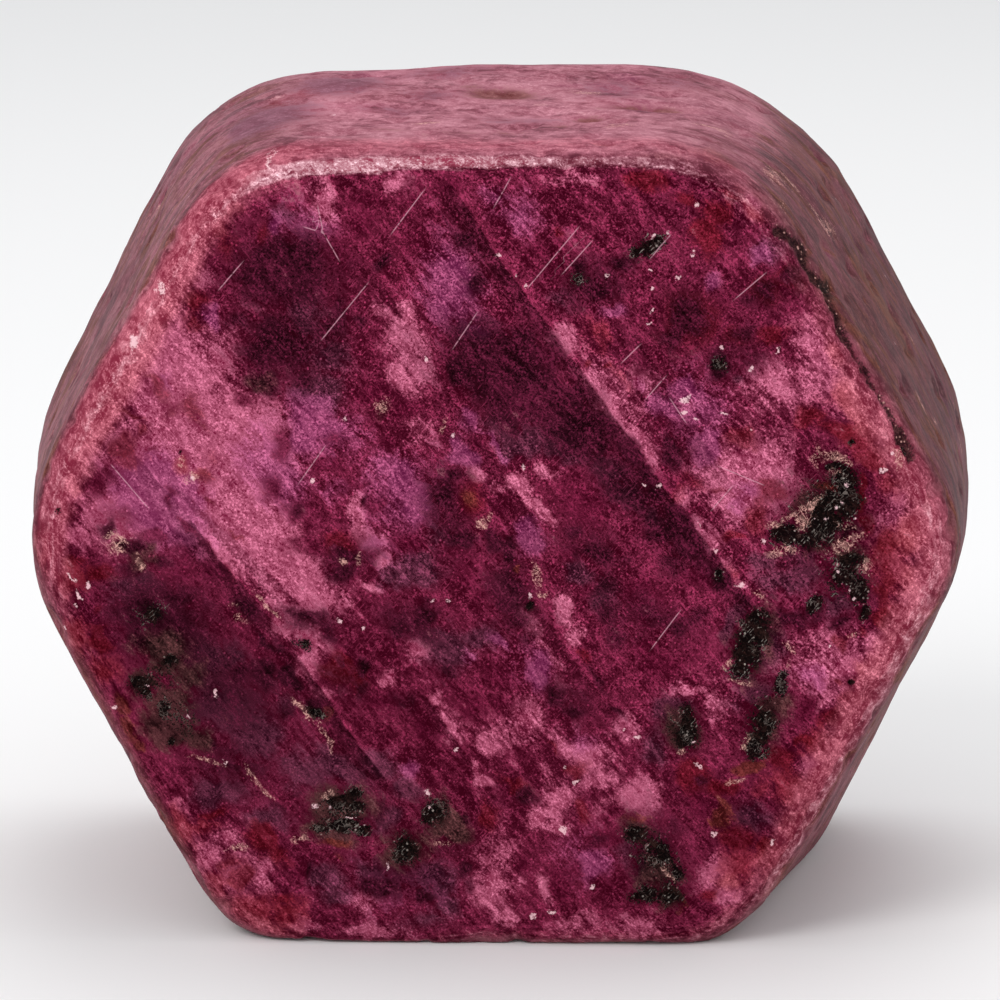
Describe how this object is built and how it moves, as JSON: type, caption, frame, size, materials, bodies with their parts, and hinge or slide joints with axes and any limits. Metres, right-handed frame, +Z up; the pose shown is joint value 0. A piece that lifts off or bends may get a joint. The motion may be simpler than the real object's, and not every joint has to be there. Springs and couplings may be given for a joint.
{
  "type": "raw ruby crystal",
  "caption": "Worn six-sided ruby crystal: a short, thick hexagonal prism with rounded edges and flat ends, lying on one side face.",
  "frame": {"origin": "on the resting plane, under the middle of the bounding box", "axes": "+Z up, +Y along the crystal's own axis from the good flat end to the other, +X across the flat end to the right"},
  "size_m": [0.0304, 0.016, 0.0254],
  "materials": {
    "ruby": "worn natural face, satin, purple-red with black grains"
  },
  "bodies": {
    "root": {"ruby_crystal": "ruby"}
  },
  "joints": []
}
